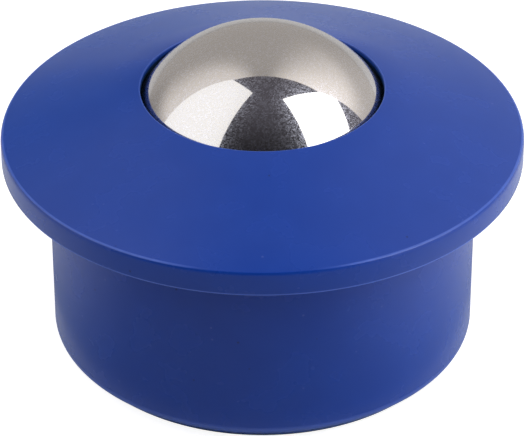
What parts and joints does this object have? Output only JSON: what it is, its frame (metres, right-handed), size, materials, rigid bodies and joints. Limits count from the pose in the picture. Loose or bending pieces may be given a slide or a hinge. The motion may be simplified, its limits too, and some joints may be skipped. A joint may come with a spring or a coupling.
{
  "type": "ball transfer unit",
  "caption": "Flanged drop-in ball transfer unit: a steel ball held in a plastic housing with a conical crown rolls in every direction on rows of small support balls in a steel cup.",
  "frame": {"origin": "on the unit's axis, at the seating face under the flange", "axes": "+Z along the axis, up to the load ball and the load; -Z down the body into the table; +X and +Y lie in the seating face"},
  "size_m": [0.055, 0.055, 0.0357],
  "materials": {
    "housing": "fine matt moulded plastic, blue",
    "ball_steel": "polished stainless steel with a fine speckle",
    "support_steel": "polished steel",
    "cup_steel": "hardened, oiled",
    "spring_steel": "phosphated spring steel",
    "felt": "dense felt",
    "acetal": "turned acetal, black"
  },
  "bodies": {
    "housing": {"housing": "housing", "wiper_seal": "felt", "ball_retainer": "acetal", "ball_cup": "cup_steel", "base_plug": "acetal", "circlip": "spring_steel"},
    "centre_ball": {"support_ball_centre": "support_steel"},
    "load_ball": {"load_ball": "ball_steel"},
    "support_pack": {"support_balls_row_1": "support_steel", "support_balls_row_2": "support_steel", "support_balls_row_3": "support_steel", "support_balls_row_4": "support_steel", "support_balls_row_5": "support_steel", "support_balls_row_6": "support_steel", "support_balls_row_7": "support_steel", "support_balls_row_8": "support_steel"}
  },
  "joints": [
    {"name": "ball_heading", "type": "hinge", "parent": "housing", "child": "centre_ball", "pos_m": [0, 0, -0.0014], "axis": [0, 0, 1], "continuous": true},
    {"name": "ball_roll", "type": "hinge", "parent": "centre_ball", "child": "load_ball", "pos_m": [0, 0, -0.0014], "axis": [1, 0, 0], "continuous": true},
    {"name": "support_pack_orbit", "type": "hinge", "parent": "housing", "child": "support_pack", "pos_m": [0, 0, -0.0014], "axis": [0, 0, 1], "continuous": true}
  ],
  "couplings": [
    {"joint": "support_pack_orbit", "follows": "ball_heading", "ratio": 0.4521}
  ]
}
